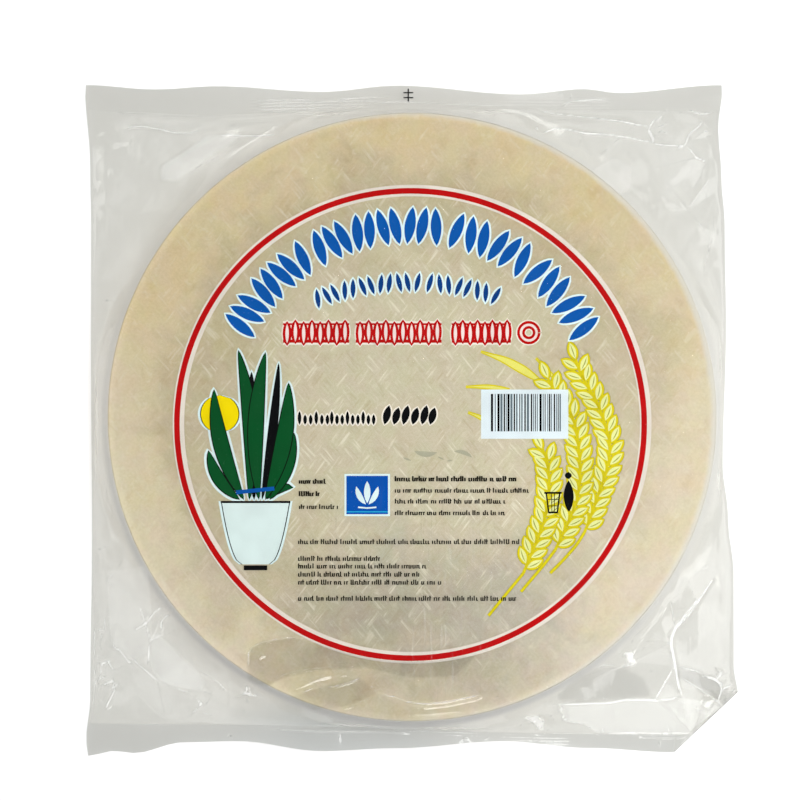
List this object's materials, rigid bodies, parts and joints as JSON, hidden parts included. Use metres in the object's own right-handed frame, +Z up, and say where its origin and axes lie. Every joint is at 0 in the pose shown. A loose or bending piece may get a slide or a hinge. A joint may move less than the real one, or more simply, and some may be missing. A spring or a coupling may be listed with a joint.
{
  "type": "rice paper wrapper stack",
  "caption": "Round stack of dry rice paper wrappers sealed in a clear film bag with crimped end seals and a printed front, lying flat.",
  "frame": {"origin": "on the table under the middle of the bag's outline, at the bottom face of the stack", "axes": "+Z up out of the printed face, +Y towards the head seal, +X to the right as the print is read"},
  "size_m": [0.3008, 0.309, 0.016],
  "materials": {
    "clear_film": "glossy clear polypropylene film",
    "rice_paper": "dry rice paper with the imprint of a woven bamboo mat",
    "print_ink": "printing ink in red, white, blue, green, yellow and black on the inside of the film"
  },
  "bodies": {
    "root": {"bag": "clear_film"}
  },
  "joints": []
}
